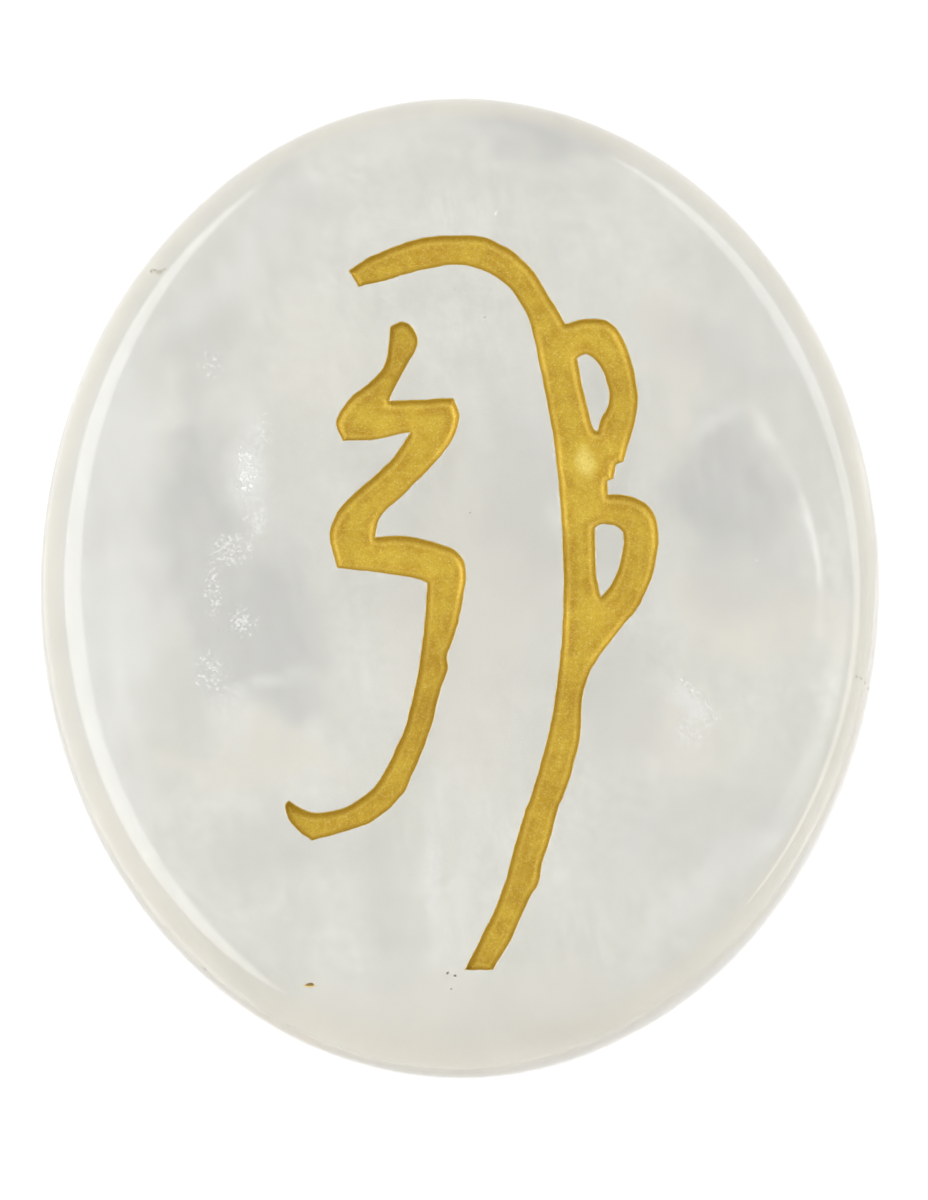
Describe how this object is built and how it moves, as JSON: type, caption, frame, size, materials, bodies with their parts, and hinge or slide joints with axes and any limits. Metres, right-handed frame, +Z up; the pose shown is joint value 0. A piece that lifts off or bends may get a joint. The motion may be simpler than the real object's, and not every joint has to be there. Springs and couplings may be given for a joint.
{
  "type": "engraved palm stone",
  "caption": "Oval polished clear quartz palm stone, with a traditional reiki emblem engraved in its face and filled with gold paint; it lies flat on its underside.",
  "frame": {"origin": "the middle of the flat underside, on the surface that the stone lies on", "axes": "+Z up out of the engraved face, +Y along the length towards the top of the emblem, +X across the width towards the emblem's right-hand side"},
  "size_m": [0.0296, 0.035, 0.007],
  "materials": {
    "quartz": "polished",
    "gold_paint": "satin"
  },
  "bodies": {
    "root": {"quartz_stone": "quartz", "gold_fill_zigzag": "gold_paint", "gold_fill_looped_stem": "gold_paint"}
  },
  "joints": []
}
